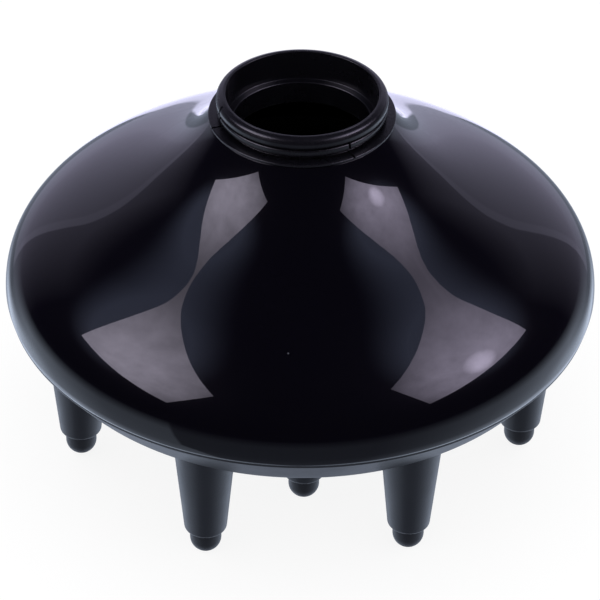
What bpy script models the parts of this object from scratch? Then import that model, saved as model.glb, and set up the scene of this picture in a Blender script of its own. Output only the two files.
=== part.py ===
"""Finger diffuser for a hair dryer, standing on its finger tips with its collar up.

Air enters through the collar, is spread by the deflector under the bell, and leaves through
the holes of the finger plate, among ten tapered fingers that lift the hair.

Dimensions are in millimetres and are turned into metres where a mesh is made. Z is up, the
fingers stand on z = 0, and the bell's axis is the Z axis. A profile is a list of
(radius, height) points. Azimuths are in degrees from the front, -Y, towards +X.
"""

import math

import bmesh
import bpy
from mathutils import Matrix, Vector

MM = 0.001
GAP = 0.3

# Facets round the large turned parts, the fingers and the screws: multiples of four, so that
# every part reaches its full radius along X and along Y.
BODY_FACETS = 40
FINGER_FACETS = 12
SCREW_FACETS = 12
BELL_STEPS = 7
DISH_STEPS = 5

# Bell: heights above its lower edge are measured from RIM_HEIGHT.
RIM_HEIGHT = 48.2
RIM_RADIUS = 83.0
RIM_EDGE_RADIUS = 82.4
SHOULDER_HEIGHT = 2.0
SHOULDER_HANDLE = 7.8
FLANK_RADIUS = 60.75
FLANK_HEIGHT = 27.8
FLANK_SLOPE = 28.8
FLANK_HANDLES = (21.5, 17.9)
MOUTH_RADIUS = 25.27
MOUTH_HEIGHT = 55.95
MOUTH_SLOPE = 63.4
MOUTH_HANDLE = 16.4
BELL_WALL = 2.2
MOUTH_BORE_RADIUS = 22.9
MOUTH_LAND_DEPTH = 4.6
RIM_ROUND = 0.6

# Collar: heights above the bell's lower edge.
COLLAR_TOP = 63.5
COLLAR_BOTTOM = 48.0
COLLAR_BORE_RADIUS = 20.9
STOP_HEIGHT = 54.7
STOP_RADIUS = 18.9
SPIGOT_RADIUS = 22.5
COLLAR_LIP_RADIUS = 21.6
COLLAR_NECK_RADIUS = 22.0
RIB_GROOVE_RADIUS = 22.5
UPPER_RIB_RADIUS = 23.5
UPPER_RIB_BOTTOM = 60.4
LOWER_RIB_RADIUS = 23.35
LOWER_RIB = (57.9, 60.0)
FLANGE_RADIUS = 25.7
FLANGE_THICKNESS = 0.7
NOTCH_WIDTH = 0.7
# Each notch as its azimuth and the height that it is cut up to.
NOTCHES = ((-74.6, 63.2), (31.0, 60.2), (156.0, 60.2))
RING_HEIGHT = 2.6
RING_RADIUS = 24.4

# Finger plate: heights above the bell's lower edge, so most are negative.
PLATE_RADIUS = 82.3
PLATE_EDGE = -0.7
PLATE_WALL = 2.0
PLATE_DEPTH = 25.0
PLATE_FLANK_END = (75.5, -9.3)
PLATE_FLOOR_RADIUS = 30.0
DISH_HANDLES = (22.0, 7.0)
UPSTAND_RADII = (78.2, 79.8)
UPSTAND_HEIGHT = 4.0
BOSS_RISE = 2.0

# Fingers and their tips: heights above the floor.
OUTER_FINGERS = 7
OUTER_FINGER_RADIUS = 64.6
INNER_FINGERS = 3
INNER_FINGER_RADIUS = 35.8
TIP_RADIUS = 4.35
TIP_TOP = 6.9
TIP_FOOT_RADIUS = 1.6
TIP_SPIGOT_RADIUS = 2.6
TIP_SPIGOT_TOP = 11.4
SHOULDER_Z = 8.4
SHOULDER_RADIUS = 5.92
FINGER_TAPER = math.tan(math.radians(5.3))
FINGER_WALL = 1.6
FINGER_FLOOR = SHOULDER_Z + 2.3
FLANGE_Z = 43.0
FINGER_FLANGE_RADIUS = 10.6
FINGER_FLANGE_THICKNESS = 1.6
SOCKET_RADIUS = 10.9

# Screws that hold the plate to three posts in the bell, and the deflector to the plate.
SCREW_AZIMUTHS = tuple(step * 360 / OUTER_FINGERS for step in (0, 2, -2))
SCREW_CIRCLE = 62.0
SCREW_SHANK_RADIUS = 1.5
SCREW_HEAD_RADIUS = 3.3
SCREW_HEAD_HEIGHT = 2.1
SCREW_HOLE_RADIUS = 1.85
PLATE_SCREW_LENGTH = 17.0
DEFLECTOR_SCREW_LENGTH = 14.0
RECESS_ARM = 2.0
RECESS_HALF_WIDTH = 0.45
RECESS_DEPTH = 1.1
POST_RADIUS = 3.8
POST_BOTTOM = RIM_HEIGHT - 11.2
PILOT_DEPTH = 16.0
BOSS_RADIUS = 5.4
BOSS_TOP = POST_BOTTOM - GAP
COUNTERBORE_RADIUS = 3.9
COUNTERBORE_TOP = BOSS_TOP - 3.0

# Air holes of the plate, as rings of (radius, count, first azimuth).
AIR_HOLE_RADIUS = 2.6
AIR_HOLE_FACETS = 6
AIR_HOLE_RINGS = ((14.0, 6, 0.0), (25.0, 9, 20.0), (47.5, 21, 360 / 42), (64.0, 28, 360 / 56))
AIR_HOLE_MARGIN = 1.2

# Deflector: a shallow cone on a hub, apex towards the collar; heights above the bell's edge.
DEFLECTOR_RADIUS = 30.0
DEFLECTOR_APEX = 16.0
DEFLECTOR_EDGE = 2.8
DEFLECTOR_THICKNESS = 1.6
HUB_RADIUS = 4.5
HUB_BOTTOM = BOSS_RISE + GAP - PLATE_DEPTH + PLATE_WALL
HUB_BORE_DEPTH = 14.0
CENTRE_BOSS_RADIUS = 6.0

# How far a cutter or a trimming body reaches past the material that it meets.
CLEAR = 1.0
LOWEST = RIM_HEIGHT - PLATE_DEPTH - 5


def clear_scene():
    """Remove whatever the scene holds, such as the startup cube, camera and lamp."""
    for obj in list(bpy.data.objects):
        bpy.data.objects.remove(obj, do_unlink=True)


def plastic(name, colour, roughness, coat=0.0, metallic=0.0):
    """One Principled material, made new for each object."""
    material = bpy.data.materials.new(name + "_material")
    material.use_nodes = True
    shader = material.node_tree.nodes["Principled BSDF"]
    shader.inputs["Base Color"].default_value = (*colour, 1.0)
    shader.inputs["Roughness"].default_value = roughness
    shader.inputs["Metallic"].default_value = metallic
    shader.inputs["Coat Weight"].default_value = coat
    return material


def direction(slope):
    """Unit vector up a profile that rises at this slope towards the axis."""
    return Vector((-math.cos(math.radians(slope)), math.sin(math.radians(slope))))


def bezier(start, start_handle, end_handle, end, steps):
    """Points along a cubic curve, both ends included."""
    points = []
    for step in range(steps + 1):
        t = step / steps
        point = start * (1 - t) ** 3 + start_handle * (3 * t * (1 - t) ** 2)
        point = point + end_handle * (3 * t * t * (1 - t)) + end * t**3
        points.append(point)
    return points


def arc(centre, radius, start, end, steps):
    """Points along a round corner, from one angle to the other, in degrees."""
    points = []
    for step in range(steps + 1):
        angle = math.radians(start + (end - start) * step / steps)
        spoke = Vector((math.cos(angle), math.sin(angle)))
        points.append(Vector(centre) + spoke * radius)
    return points


def inset(points, distance):
    """The profile moved to its left by this distance, as the other side of a wall."""
    moved = []
    for index, point in enumerate(points):
        before = points[max(index - 1, 0)]
        after = points[min(index + 1, len(points) - 1)]
        run = (after - before).normalized()
        moved.append(point + Vector((-run.y, run.x)) * distance)
    return moved


def raised(points, height):
    return [Vector((point[0], point[1] + height)) for point in points]


def place(radius, azimuth, height=0.0):
    """A position in metres from a radius and height in millimetres and an azimuth."""
    angle = math.radians(azimuth)
    return Vector((radius * math.sin(angle), -radius * math.cos(angle), height)) * MM


def shade(mesh):
    mesh.shade_smooth()
    mesh.set_sharp_from_angle(angle=math.radians(35))


def turned_mesh(name, profile, facets):
    """A closed profile turned once round the Z axis. A point on the axis is one vertex."""
    body = bmesh.new()
    rings = []
    for radius, height in profile:
        if radius < 1e-6:
            rings.append([body.verts.new((0.0, 0.0, height * MM))])
            continue
        corners = [Vector((x, y, height)) * MM for x, y in polygon(radius, facets)]
        rings.append([body.verts.new(corner) for corner in corners])
    for lower, upper in zip(rings, rings[1:] + rings[:1]):
        if len(lower) == 1 and len(upper) == 1:
            continue
        for facet in range(facets):
            beside = (facet + 1) % facets
            around = [lower[facet % len(lower)], lower[beside % len(lower)]]
            around += [upper[beside % len(upper)], upper[facet % len(upper)]]
            body.faces.new(list(dict.fromkeys(around)))
    bmesh.ops.recalc_face_normals(body, faces=body.faces)
    mesh = bpy.data.meshes.new(name)
    body.to_mesh(mesh)
    body.free()
    shade(mesh)
    return mesh


def prism_mesh(name, columns):
    """Upright prisms in one mesh, each from (outline in mm, bottom, top, centre in mm)."""
    body = bmesh.new()
    for outline, bottom, top, centre in columns:
        base = [body.verts.new(Vector((x + centre[0], y + centre[1], bottom)) * MM) for x, y in outline]
        face = body.faces.new(base)
        made = bmesh.ops.extrude_face_region(body, geom=[face])
        lifted = [item for item in made["geom"] if isinstance(item, bmesh.types.BMVert)]
        bmesh.ops.translate(body, verts=lifted, vec=(0.0, 0.0, (top - bottom) * MM))
    bmesh.ops.recalc_face_normals(body, faces=body.faces)
    mesh = bpy.data.meshes.new(name)
    body.to_mesh(mesh)
    body.free()
    return mesh


def polygon(radius, facets):
    """Corners of a regular polygon whose first corner points along +X."""
    return [
        (radius * math.cos(2 * math.pi * k / facets), radius * math.sin(2 * math.pi * k / facets))
        for k in range(facets)
    ]


def flat_place(radius, azimuth):
    """Centre of a column in millimetres, for prism_mesh."""
    spot = place(radius, azimuth) / MM
    return (spot.x, spot.y)


def add(name, mesh, material=None, location=(0.0, 0.0, 0.0)):
    obj = bpy.data.objects.new(name, mesh)
    obj.location = location
    bpy.context.scene.collection.objects.link(obj)
    if material:
        obj.data.materials.clear()
        obj.data.materials.append(material)
    return obj


def helper(name, mesh):
    """An object that only cuts or is joined into another, and isn't part of the assembly."""
    obj = add(name, mesh)
    obj.hide_render = True
    obj.display_type = "WIRE"
    return obj


def combine(obj, other, operation, solver="EXACT"):
    modifier = obj.modifiers.new(other.name, "BOOLEAN")
    modifier.operation = operation
    modifier.solver = solver
    modifier.object = other


def screw_columns(radius, bottom, top):
    """Columns for prism_mesh, one on the line of each plate screw."""
    outline = polygon(radius, SCREW_FACETS)
    return [(outline, bottom, top, flat_place(SCREW_CIRCLE, azimuth)) for azimuth in SCREW_AZIMUTHS]


def bell_outside():
    """The bell's outer curve, from its widest point to its mouth."""
    shoulder = Vector((RIM_RADIUS, SHOULDER_HEIGHT))
    flank = Vector((FLANK_RADIUS, FLANK_HEIGHT))
    mouth = Vector((MOUTH_RADIUS, MOUTH_HEIGHT))
    along_flank = direction(FLANK_SLOPE)
    lower = bezier(
        shoulder,
        shoulder + Vector((0.0, SHOULDER_HANDLE)),
        flank - along_flank * FLANK_HANDLES[0],
        flank,
        BELL_STEPS,
    )
    upper = bezier(
        flank,
        flank + along_flank * FLANK_HANDLES[1],
        mouth - direction(MOUTH_SLOPE) * MOUTH_HANDLE,
        mouth,
        BELL_STEPS,
    )
    return raised(lower + upper[1:], RIM_HEIGHT)


def bell_shell():
    outside = bell_outside()
    inside = inset(outside, BELL_WALL)
    top = RIM_HEIGHT + MOUTH_HEIGHT
    land = top - MOUTH_LAND_DEPTH
    inside = [point for point in inside if point.y < land - 0.3]
    edge = arc((RIM_EDGE_RADIUS - RIM_ROUND, RIM_HEIGHT + RIM_ROUND), RIM_ROUND, -90, 0, 2)
    lip = Vector((inside[0].x, RIM_HEIGHT))
    slope = (inside[-1] - inside[-2]).normalized()
    corner = inside[-1] + slope * ((land - inside[-1].y) / slope.y)
    profile = edge + outside
    profile += [Vector((MOUTH_BORE_RADIUS, top)), Vector((MOUTH_BORE_RADIUS, land)), corner]
    profile += inside[::-1] + [lip]
    mesh = turned_mesh("bell_shell", profile, BODY_FACETS)
    bell = add("bell_shell", mesh, plastic("bell_shell", (0.006, 0.006, 0.009), 0.12, coat=0.6))

    # Three screw posts hang from the wall. They end in the middle of it.
    middle = inset(outside, BELL_WALL / 2)
    below = [Vector((0.0, middle[-1].y)), Vector((0.0, 0.0)), Vector((middle[0].x, 0.0))]
    within = turned_mesh("bell_middle", middle + below, BODY_FACETS)
    columns = screw_columns(POST_RADIUS, POST_BOTTOM, top)
    posts = helper("bell_posts", prism_mesh("bell_posts", columns))
    combine(posts, helper("bell_middle", within), "INTERSECT")
    combine(bell, posts, "UNION")
    pilots = screw_columns(SCREW_HOLE_RADIUS, POST_BOTTOM - CLEAR, POST_BOTTOM + PILOT_DEPTH)
    combine(bell, helper("bell_pilot_holes", prism_mesh("bell_pilot_holes", pilots)), "DIFFERENCE")


def neck_collar():
    flange_low = MOUTH_HEIGHT + GAP
    flange_high = flange_low + FLANGE_THICKNESS
    rib_low, rib_high = LOWER_RIB
    profile = [
        Vector((STOP_RADIUS, COLLAR_BOTTOM)),
        Vector((STOP_RADIUS, STOP_HEIGHT)),
        Vector((COLLAR_BORE_RADIUS, STOP_HEIGHT)),
        Vector((COLLAR_BORE_RADIUS, COLLAR_TOP - 0.2)),
        Vector((COLLAR_BORE_RADIUS + 0.2, COLLAR_TOP)),
        Vector((COLLAR_LIP_RADIUS, COLLAR_TOP)),
        Vector((UPPER_RIB_RADIUS - 0.7, COLLAR_TOP - 0.5)),
        Vector((UPPER_RIB_RADIUS, COLLAR_TOP - 1.5)),
        Vector((UPPER_RIB_RADIUS, UPPER_RIB_BOTTOM + 0.6)),
        Vector((RIB_GROOVE_RADIUS, UPPER_RIB_BOTTOM)),
        Vector((RIB_GROOVE_RADIUS, rib_high)),
        Vector((LOWER_RIB_RADIUS, rib_high - 0.6)),
        Vector((LOWER_RIB_RADIUS, rib_low + 0.6)),
        Vector((COLLAR_NECK_RADIUS, rib_low)),
        Vector((COLLAR_NECK_RADIUS, flange_high)),
    ]
    profile += arc((FLANGE_RADIUS - 0.3, flange_high - 0.3), 0.3, 90, 0, 1)
    profile += arc((FLANGE_RADIUS - 0.2, flange_low + 0.2), 0.2, 0, -90, 1)
    profile += [Vector((SPIGOT_RADIUS, flange_low)), Vector((SPIGOT_RADIUS, COLLAR_BOTTOM + 0.5))]
    profile += [Vector((SPIGOT_RADIUS - 0.5, COLLAR_BOTTOM))]
    mesh = turned_mesh("neck_collar", raised(profile, RIM_HEIGHT), BODY_FACETS)
    collar = add("neck_collar", mesh, plastic("neck_collar", (0.006, 0.006, 0.008), 0.3))

    # Mould parting notches across the ribs and the flange.
    columns = []
    for azimuth, top in NOTCHES:
        outward = place(1.0, azimuth) / MM
        across = Vector((-outward.y, outward.x, 0.0)) * NOTCH_WIDTH / 2
        near = outward * (COLLAR_NECK_RADIUS + 0.1)
        far = outward * (FLANGE_RADIUS + CLEAR)
        corners = (near - across, far - across, far + across, near + across)
        outline = [(corner.x, corner.y) for corner in corners]
        bottom = RIM_HEIGHT + flange_high - FLANGE_THICKNESS / 2
        columns.append((outline, bottom, RIM_HEIGHT + top, (0, 0)))
    combine(collar, helper("collar_notches", prism_mesh("collar_notches", columns)), "DIFFERENCE")


def collar_retaining_ring():
    """Snaps on to the collar's spigot under the bell's mouth, and turns with the collar."""
    top = RIM_HEIGHT + MOUTH_HEIGHT - MOUTH_LAND_DEPTH - GAP
    bore = SPIGOT_RADIUS + GAP
    bottom = top - RING_HEIGHT
    profile = [
        (bore, bottom),
        (RING_RADIUS, bottom),
        (RING_RADIUS, top - 0.5),
        (RING_RADIUS - 0.4, top),
        (bore, top),
    ]
    mesh = turned_mesh("collar_retaining_ring", profile, BODY_FACETS)
    add("collar_retaining_ring", mesh, plastic("collar_retaining_ring", (0.03, 0.03, 0.035), 0.5))


def plate_outside():
    """The plate's lower surface, from the edge of its centre hole out to the rim."""
    end = Vector(PLATE_FLANK_END)
    rim_corner = Vector((PLATE_RADIUS, PLATE_EDGE))
    flank = (end - rim_corner).normalized()
    floor_edge = Vector((PLATE_FLOOR_RADIUS, -PLATE_DEPTH))
    level_handle = floor_edge + Vector((DISH_HANDLES[0], 0.0))
    dish = bezier(floor_edge, level_handle, end + flank * DISH_HANDLES[1], end, DISH_STEPS)
    return [Vector((SCREW_HOLE_RADIUS, -PLATE_DEPTH))] + dish + [rim_corner]


def socket_places():
    """Azimuth and radius of every finger."""
    spots = []
    for index in range(OUTER_FINGERS):
        spots.append(((index + 0.5) * 360 / OUTER_FINGERS, OUTER_FINGER_RADIUS))
    for index in range(INNER_FINGERS):
        spots.append((index * 360 / INNER_FINGERS, INNER_FINGER_RADIUS))
    return spots


def finger_radius(height):
    """Outer radius of a finger above its shoulder."""
    return SHOULDER_RADIUS + (height - SHOULDER_Z) * FINGER_TAPER


def air_hole_places():
    """Centres of the air holes, leaving out those that would cut into a socket or a boss."""
    blocked = [(place(radius, azimuth), SOCKET_RADIUS) for azimuth, radius in socket_places()]
    blocked += [(place(SCREW_CIRCLE, azimuth), BOSS_RADIUS) for azimuth in SCREW_AZIMUTHS]
    centres = []
    for radius, count, first in AIR_HOLE_RINGS:
        for index in range(count):
            azimuth = first + index * 360 / count
            spot = place(radius, azimuth)
            nearest = min((spot - centre).length / MM - reach for centre, reach in blocked)
            if nearest > AIR_HOLE_RADIUS + AIR_HOLE_MARGIN:
                centres.append(flat_place(radius, azimuth))
    return centres


def finger_plate():
    outside = plate_outside()
    inside = inset(outside[1:], PLATE_WALL)
    run = (inside[-1] - inside[-2]).normalized()
    reach = (UPSTAND_RADII[0] - inside[-2].x) / run.x
    inside = inside[:-1] + [inside[-2] + run * reach]
    boss_top = BOSS_RISE - PLATE_DEPTH + PLATE_WALL
    profile = outside + [
        Vector((PLATE_RADIUS - 0.2, -GAP)),
        Vector((UPSTAND_RADII[1], -GAP)),
        Vector((UPSTAND_RADII[1], UPSTAND_HEIGHT)),
        Vector((UPSTAND_RADII[0], UPSTAND_HEIGHT)),
    ]
    profile += inside[::-1]
    profile += [
        Vector((CENTRE_BOSS_RADIUS, PLATE_WALL - PLATE_DEPTH)),
        Vector((CENTRE_BOSS_RADIUS, boss_top)),
        Vector((SCREW_HOLE_RADIUS, boss_top)),
    ]
    mesh = turned_mesh("finger_plate", raised(profile, RIM_HEIGHT), BODY_FACETS)
    plate = add("finger_plate", mesh, plastic("finger_plate", (0.022, 0.024, 0.030), 0.45))

    # Sockets and screw bosses rise from the middle of the wall.
    middle = inset(outside, PLATE_WALL / 2)
    above = middle + [Vector((middle[-1].x, 20.0)), Vector((0.0, 20.0)), Vector((0.0, middle[0].y))]
    within = turned_mesh("plate_middle", raised(above, RIM_HEIGHT), BODY_FACETS)
    columns = screw_columns(BOSS_RADIUS, LOWEST, BOSS_TOP)
    for azimuth, radius in socket_places():
        outline = polygon(SOCKET_RADIUS, FINGER_FACETS)
        columns.append((outline, LOWEST, FLANGE_Z - GAP, flat_place(radius, azimuth)))
    sockets = helper("plate_sockets", prism_mesh("plate_sockets", columns))
    combine(sockets, helper("plate_middle", within), "INTERSECT")
    combine(plate, sockets, "UNION")

    # The exact solver leaves open edges here, so these cuts use the other one.
    top = FLANGE_Z + CLEAR
    air_hole = polygon(AIR_HOLE_RADIUS, AIR_HOLE_FACETS)
    holes = screw_columns(SCREW_HOLE_RADIUS, COUNTERBORE_TOP - CLEAR, BOSS_TOP + CLEAR)
    holes += [(air_hole, LOWEST, top, centre) for centre in air_hole_places()]
    combine(plate, helper("plate_holes", prism_mesh("plate_holes", holes)), "DIFFERENCE", "MANIFOLD")
    counterbores = screw_columns(COUNTERBORE_RADIUS, LOWEST, COUNTERBORE_TOP)
    counterbore_cutter = helper("plate_counterbores", prism_mesh("plate_counterbores", counterbores))
    combine(plate, counterbore_cutter, "DIFFERENCE", "MANIFOLD")
    low_radius = finger_radius(LOWEST) + GAP
    top_radius = finger_radius(top) + GAP
    bore = [(0, LOWEST), (low_radius, LOWEST), (top_radius, top), (0, top)]
    bore_mesh = turned_mesh("socket_bore", bore, FINGER_FACETS)
    for index, (azimuth, radius) in enumerate(socket_places()):
        cutter = helper(f"socket_bore_{index}", bore_mesh)
        cutter.location = place(radius, azimuth)
        combine(plate, cutter, "DIFFERENCE", "MANIFOLD")


def finger_mesh():
    """A hollow prong: round shoulder at the foot, taper, and a flange that sits on its socket."""
    foot = TIP_TOP + GAP
    top = FLANGE_Z + FINGER_FLANGE_THICKNESS
    bore = TIP_SPIGOT_RADIUS + GAP
    profile = [
        (bore, foot),
        (TIP_RADIUS + 0.1, foot),
        (SHOULDER_RADIUS - 0.3, SHOULDER_Z - 0.4),
        (SHOULDER_RADIUS, SHOULDER_Z),
        (finger_radius(FLANGE_Z), FLANGE_Z),
        (FINGER_FLANGE_RADIUS, FLANGE_Z),
        (FINGER_FLANGE_RADIUS, top),
        (finger_radius(top) - FINGER_WALL, top),
        (finger_radius(FINGER_FLOOR) - FINGER_WALL, FINGER_FLOOR),
        (bore, FINGER_FLOOR),
    ]
    return turned_mesh("finger", profile, FINGER_FACETS)


def tip_mesh():
    """A soft round foot with a spigot that plugs the finger."""
    profile = [Vector((0.0, 0.0)), Vector((TIP_FOOT_RADIUS, 0.0))]
    profile += arc((0.0, TIP_RADIUS), TIP_RADIUS, -65, 0, 3)
    profile += [
        Vector((TIP_RADIUS, TIP_TOP - 0.3)),
        Vector((TIP_RADIUS - 0.3, TIP_TOP)),
        Vector((TIP_SPIGOT_RADIUS, TIP_TOP)),
        Vector((TIP_SPIGOT_RADIUS, TIP_SPIGOT_TOP)),
        Vector((0.0, TIP_SPIGOT_TOP)),
    ]
    return turned_mesh("tip", profile, FINGER_FACETS)


def fingers_and_tips():
    prong = finger_mesh()
    foot = tip_mesh()
    for index, (azimuth, radius) in enumerate(socket_places()):
        outer = index < OUTER_FINGERS
        number = index + 1 if outer else index + 1 - OUTER_FINGERS
        kind = "outer" if outer else "inner"
        spot = place(radius, azimuth)
        finger = f"{kind}_finger_{number}"
        add(finger, prong.copy(), plastic(finger, (0.022, 0.024, 0.030), 0.45), spot)
        tip = f"{kind}_finger_tip_{number}"
        add(tip, foot.copy(), plastic(tip, (0.020, 0.022, 0.028), 0.5), spot)


def air_deflector():
    under_apex = DEFLECTOR_APEX - DEFLECTOR_THICKNESS
    profile = [
        (0, DEFLECTOR_APEX),
        (DEFLECTOR_RADIUS, DEFLECTOR_EDGE),
        (DEFLECTOR_RADIUS + 0.3, DEFLECTOR_EDGE - DEFLECTOR_THICKNESS / 2),
        (DEFLECTOR_RADIUS, DEFLECTOR_EDGE - DEFLECTOR_THICKNESS),
        (HUB_RADIUS + 2, under_apex - 2.9),
        (HUB_RADIUS, under_apex - 5),
        (HUB_RADIUS, HUB_BOTTOM),
        (SCREW_HOLE_RADIUS, HUB_BOTTOM),
        (SCREW_HOLE_RADIUS, HUB_BOTTOM + HUB_BORE_DEPTH),
        (0, HUB_BOTTOM + HUB_BORE_DEPTH),
    ]
    mesh = turned_mesh("air_deflector", raised(profile, RIM_HEIGHT), BODY_FACETS)
    add("air_deflector", mesh, plastic("air_deflector", (0.03, 0.03, 0.035), 0.5))


def screw_mesh(length):
    """A pan-head screw, head down, whose head seats at height 0 and shank points up."""
    head = SCREW_HEAD_RADIUS
    depth = SCREW_HEAD_HEIGHT
    shank = SCREW_SHANK_RADIUS
    profile = [
        (0, -depth),
        (head - 1.2, -depth),
        (head - 0.3, -depth + 0.5),
        (head, -depth + 1.1),
        (head, 0),
        (shank, 0),
        (shank, length - 1.5),
        (0, length),
    ]
    return turned_mesh("screw", profile, SCREW_FACETS)


def cross_recess():
    """Cutter for the driver's cross in a screw head at the origin."""
    arm = RECESS_ARM
    half = RECESS_HALF_WIDTH
    outline = []
    for quarter in range(4):
        turn = Matrix.Rotation(math.radians(90 * quarter), 2)
        outline += [turn @ Vector(corner) for corner in ((arm, -half), (arm, half), (half, half))]
    return [(outline, -SCREW_HEAD_HEIGHT - CLEAR, RECESS_DEPTH - SCREW_HEAD_HEIGHT, (0, 0))]


def screw(name, length, radius, azimuth, seat):
    obj = add(name, screw_mesh(length), plastic(name, (0.55, 0.55, 0.56), 0.3, metallic=1.0))
    obj.location = place(radius, azimuth, seat)
    recess = helper(name + "_recess", prism_mesh(name + "_recess", cross_recess()))
    recess.location = obj.location
    combine(obj, recess, "DIFFERENCE")


def screws():
    for index, azimuth in enumerate(SCREW_AZIMUTHS):
        seat = COUNTERBORE_TOP - GAP
        screw(f"plate_screw_{index + 1}", PLATE_SCREW_LENGTH, SCREW_CIRCLE, azimuth, seat)
    screw("deflector_screw", DEFLECTOR_SCREW_LENGTH, 0.0, 0.0, RIM_HEIGHT - PLATE_DEPTH - GAP)


def main():
    clear_scene()
    bell_shell()
    neck_collar()
    collar_retaining_ring()
    finger_plate()
    fingers_and_tips()
    air_deflector()
    screws()


main()
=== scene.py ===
"""Looks of the finger diffuser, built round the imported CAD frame.

Every CAD node is faceted, so each gets a smooth piece here: the same turned profiles with fine
steps, rounded edges and procedural plastics. Lengths are in millimetres and are turned into
metres where a mesh is made. Z is up, the floor is z = 0, and azimuths are in degrees from the
front, -Y, towards +X. A profile is a list of (radius, height, fillet radius) corners.
"""
import math

import bmesh
import bpy
from mathutils import Matrix, Vector


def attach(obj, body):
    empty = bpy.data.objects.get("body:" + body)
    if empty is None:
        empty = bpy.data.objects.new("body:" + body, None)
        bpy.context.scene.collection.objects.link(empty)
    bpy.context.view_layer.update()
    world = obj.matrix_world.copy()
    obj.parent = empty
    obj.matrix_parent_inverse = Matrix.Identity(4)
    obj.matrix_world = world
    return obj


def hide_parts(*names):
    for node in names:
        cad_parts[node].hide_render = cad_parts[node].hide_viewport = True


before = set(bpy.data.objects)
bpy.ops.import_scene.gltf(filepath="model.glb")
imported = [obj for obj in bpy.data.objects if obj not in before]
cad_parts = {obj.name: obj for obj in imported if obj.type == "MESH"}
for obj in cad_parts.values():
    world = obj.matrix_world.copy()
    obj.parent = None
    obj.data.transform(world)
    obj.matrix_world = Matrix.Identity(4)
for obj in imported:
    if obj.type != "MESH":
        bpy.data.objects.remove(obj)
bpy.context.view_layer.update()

MM = 0.001
# Fitting gap of the solids, and the hairline that shows where two pieces meet.
GAP = 0.3
SEAM = 0.04
# How far a cutter reaches past what it cuts.
CLEAR = 1.0
LARGE_FACETS = 240
FINGER_FACETS = 64
SMALL_FACETS = 32
FILLET_STEPS = 5
SMOOTH_BELOW = math.radians(32)

# Bell. Heights in the profiles of the bell, collar and plate are above the bell's lower edge.
RIM_HEIGHT = 48.2
RIM_RADIUS = 83.0
RIM_EDGE_RADIUS = 82.4
SHOULDER_HEIGHT = 2.0
SHOULDER_HANDLE = 7.8
FLANK_RADIUS = 60.75
FLANK_HEIGHT = 27.8
FLANK_SLOPE = 28.8
FLANK_HANDLES = (21.5, 17.9)
MOUTH_RADIUS = 25.27
MOUTH_HEIGHT = 55.95
MOUTH_SLOPE = 63.4
MOUTH_HANDLE = 16.4
BELL_STEPS = 44
BELL_WALL = 2.2
MOUTH_BORE_RADIUS = 22.9
MOUTH_LAND_DEPTH = 4.6
RIM_ROUND = 0.6

# Collar and its retaining ring.
COLLAR_TOP = 63.5
COLLAR_BOTTOM = 48.0
COLLAR_BORE_RADIUS = 20.9
STOP_HEIGHT = 54.7
STOP_RADIUS = 18.9
SPIGOT_RADIUS = 22.5
COLLAR_LIP_RADIUS = 21.6
COLLAR_NECK_RADIUS = 22.0
RIB_GROOVE_RADIUS = 22.5
UPPER_RIB_RADIUS = 23.5
UPPER_RIB_BOTTOM = 60.4
LOWER_RIB_RADIUS = 23.35
LOWER_RIB = (57.9, 60.0)
FLANGE_RADIUS = 25.7
FLANGE_THICKNESS = 0.7
NOTCH_WIDTH = 0.7
# Each notch as its azimuth and the height that it is cut up to.
NOTCHES = ((-74.6, 63.2), (31.0, 60.2), (156.0, 60.2))
RING_HEIGHT = 2.6
RING_RADIUS = 24.4

# Finger plate.
PLATE_RADIUS = 82.3
PLATE_EDGE = -0.7
PLATE_WALL = 2.0
PLATE_DEPTH = 25.0
PLATE_FLANK_END = (75.5, -9.3)
PLATE_FLOOR_RADIUS = 30.0
DISH_HANDLES = (22.0, 7.0)
DISH_STEPS = 28
UPSTAND_RADII = (78.2, 79.8)
UPSTAND_HEIGHT = 4.0
CENTRE_BOSS_RADIUS = 6.0
BOSS_RISE = 2.0
LOWEST = RIM_HEIGHT - PLATE_DEPTH - 5

# Fingers and tips: heights above the floor.
OUTER_FINGERS = 7
OUTER_FINGER_RADIUS = 64.6
INNER_FINGERS = 3
INNER_FINGER_RADIUS = 35.8
TIP_RADIUS = 4.35
TIP_TOP = 6.9
TIP_SPIGOT_RADIUS = 2.6
TIP_SPIGOT_TOP = 11.4
TIP_BALL_START = -70.0
TIP_BALL_STEPS = 12
SHOULDER_Z = 8.4
SHOULDER_RADIUS = 5.92
FINGER_TAPER = math.tan(math.radians(5.3))
FINGER_WALL = 1.6
FINGER_FLOOR = SHOULDER_Z + 2.3
FLANGE_Z = 43.0
FINGER_FLANGE_RADIUS = 10.6
FINGER_FLANGE_THICKNESS = 1.6
SOCKET_RADIUS = 10.9

# Screws, their posts and bosses, and the air holes.
SCREW_AZIMUTHS = tuple(step * 360 / OUTER_FINGERS for step in (0, 2, -2))
SCREW_CIRCLE = 62.0
SCREW_SHANK_RADIUS = 1.5
SCREW_HEAD_RADIUS = 3.3
SCREW_HEAD_HEIGHT = 2.1
PLATE_SCREW_LENGTH = 17.0
DEFLECTOR_SCREW_LENGTH = 14.0
SCREW_HOLE_RADIUS = 1.85
THREAD_PITCH = 1.0
THREAD_DEPTH = 0.25
RECESS_ARM = 2.0
RECESS_HALF_WIDTH = 0.45
RECESS_DEPTH = 1.1
POST_RADIUS = 3.8
POST_BOTTOM = RIM_HEIGHT - 11.2
PILOT_DEPTH = 16.0
BOSS_RADIUS = 5.4
BOSS_TOP = POST_BOTTOM - GAP
COUNTERBORE_RADIUS = 3.9
COUNTERBORE_TOP = BOSS_TOP - 3.0
AIR_HOLE_RADIUS = 2.6
AIR_HOLE_RINGS = ((14.0, 6, 0.0), (25.0, 9, 20.0), (47.5, 21, 360 / 42), (64.0, 28, 360 / 56))
AIR_HOLE_MARGIN = 1.2

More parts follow.
